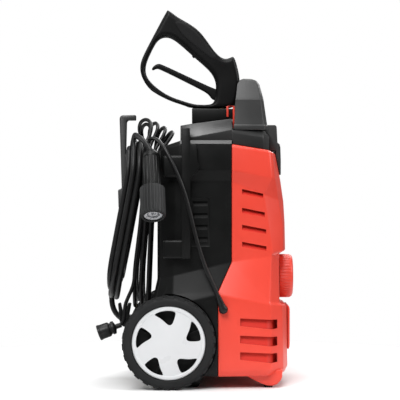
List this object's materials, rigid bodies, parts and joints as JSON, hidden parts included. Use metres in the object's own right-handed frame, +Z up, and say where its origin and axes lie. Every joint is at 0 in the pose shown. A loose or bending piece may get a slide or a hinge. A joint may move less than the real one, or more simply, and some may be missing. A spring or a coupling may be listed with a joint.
{
  "type": "pressure washer",
  "caption": "Upright electric pressure washer on two wheels, with spray gun in its holster and hose and power cord wound on rear hooks.",
  "frame": {"origin": "on the floor under the middle of the machine, midway between its front knob and its rear hook", "axes": "+X to the front (the knob side), +Y to the left, +Z up"},
  "size_m": [0.3672, 0.3413, 0.6943],
  "materials": {
    "black_plastic": "moulded, fine grain",
    "red_plastic": "moulded, satin orange-red",
    "grey_plastic": "moulded dark grey, fine grain",
    "gun_plastic": "moulded dark grey, fine grain",
    "white_plastic": "satin white",
    "wheel_plastic": "blow-moulded black, matte",
    "rubber": "matte",
    "cord_jacket": "smooth satin jacket",
    "hose_jacket": "smooth satin jacket",
    "steel": "bright",
    "brass": "machined",
    "aluminium": "cast",
    "winding": "varnished windings"
  },
  "bodies": {
    "chassis": {"rear_housing": "black_plastic", "front_cover": "red_plastic", "top_cover": "grey_plastic", "carry_handle": "grey_plastic", "front_trim": "grey_plastic", "front_panel": "red_plastic", "front_foot_pad_left": "rubber", "front_foot_pad_right": "rubber", "case_screw_left": "steel", "case_screw_right": "steel", "axle": "steel", "wheel_retainer_left": "steel", "wheel_retainer_right": "steel", "power_switch": "black_plastic", "motor_can": "aluminium", "stator": "winding", "motor_end_cap": "aluminium", "upper_bearing": "steel", "lower_bearing": "steel", "pump_flange": "aluminium", "pump_body": "brass", "outlet_pipe": "steel", "pump_outlet_fitting": "brass", "water_inlet": "brass", "gun_holster": "black_plastic", "holster_clip": "red_plastic", "side_bracket": "black_plastic", "upper_hook": "black_plastic", "lower_hook": "black_plastic", "cord_boot": "rubber", "cord_lead": "cord_jacket", "cord_winding": "cord_jacket", "cord_tail": "cord_jacket", "power_plug": "rubber", "hose_inlet_nut": "black_plastic", "hose_start": "hose_jacket", "hose_winding": "hose_jacket", "hose_end": "hose_jacket", "coupling_sleeve": "black_plastic", "coupling_collar": "black_plastic", "coupling_nut": "steel"},
    "wheel_left": {"wheel_left": "wheel_plastic", "hubcap_left": "white_plastic"},
    "wheel_right": {"wheel_right": "wheel_plastic", "hubcap_right": "white_plastic"},
    "knob": {"power_knob": "red_plastic"},
    "rotor": {"rotor": "steel", "cooling_fan": "black_plastic", "wobble_plate": "aluminium"},
    "piston_1": {"piston_1": "steel"},
    "piston_2": {"piston_2": "steel"},
    "piston_3": {"piston_3": "steel"},
    "gun": {"gun_casing_left": "gun_plastic", "gun_casing_right": "gun_plastic", "grip_inlay": "rubber", "trigger_pin": "steel", "trigger_spring": "steel", "gun_barrel": "brass"},
    "trigger": {"trigger": "black_plastic"},
    "trigger_lock": {"trigger_lock": "black_plastic"}
  },
  "joints": [
    {"name": "wheel_left_spin", "type": "hinge", "parent": "chassis", "child": "wheel_left", "pos_m": [-0.066, 0.129, 0.0845], "axis": [0, 1, 0], "continuous": true},
    {"name": "wheel_right_spin", "type": "hinge", "parent": "chassis", "child": "wheel_right", "pos_m": [-0.066, -0.129, 0.0845], "axis": [0, 1, 0], "continuous": true},
    {"name": "power_knob_turn", "type": "hinge", "parent": "chassis", "child": "knob", "pos_m": [0.15, 0, 0.1985], "axis": [1, 0, 0], "range_deg": [0, 90]},
    {"name": "motor_spin", "type": "hinge", "parent": "chassis", "child": "rotor", "pos_m": [0.025, 0, 0.3], "axis": [0, 0, 1], "continuous": true},
    {"name": "piston_1_stroke", "type": "slide", "parent": "chassis", "child": "piston_1", "axis": [0, 0, 1], "range_m": [-0.004, 0.002]},
    {"name": "piston_2_stroke", "type": "slide", "parent": "chassis", "child": "piston_2", "axis": [0, 0, 1], "range_m": [-0.004, 0.002]},
    {"name": "piston_3_stroke", "type": "slide", "parent": "chassis", "child": "piston_3", "axis": [0, 0, 1], "range_m": [-0.004, 0.002]},
    {"name": "gun_lift", "type": "slide", "parent": "chassis", "child": "gun", "axis": [0, 0, 1], "range_m": [0, 0.06]},
    {"name": "trigger_pull", "type": "hinge", "parent": "gun", "child": "trigger", "pos_m": [0.026, -0.055, 0.54], "axis": [0, 1, 0], "range_deg": [0, 15], "stiffness_Nm_per_rad": 0.5, "springref_deg": -14.32, "deforming": ["trigger_spring"]},
    {"name": "trigger_lock_fold", "type": "hinge", "parent": "gun", "child": "trigger_lock", "pos_m": [-0.032, -0.055, 0.6221], "axis": [0, 1, 0], "range_deg": [0, 45]}
  ]
}
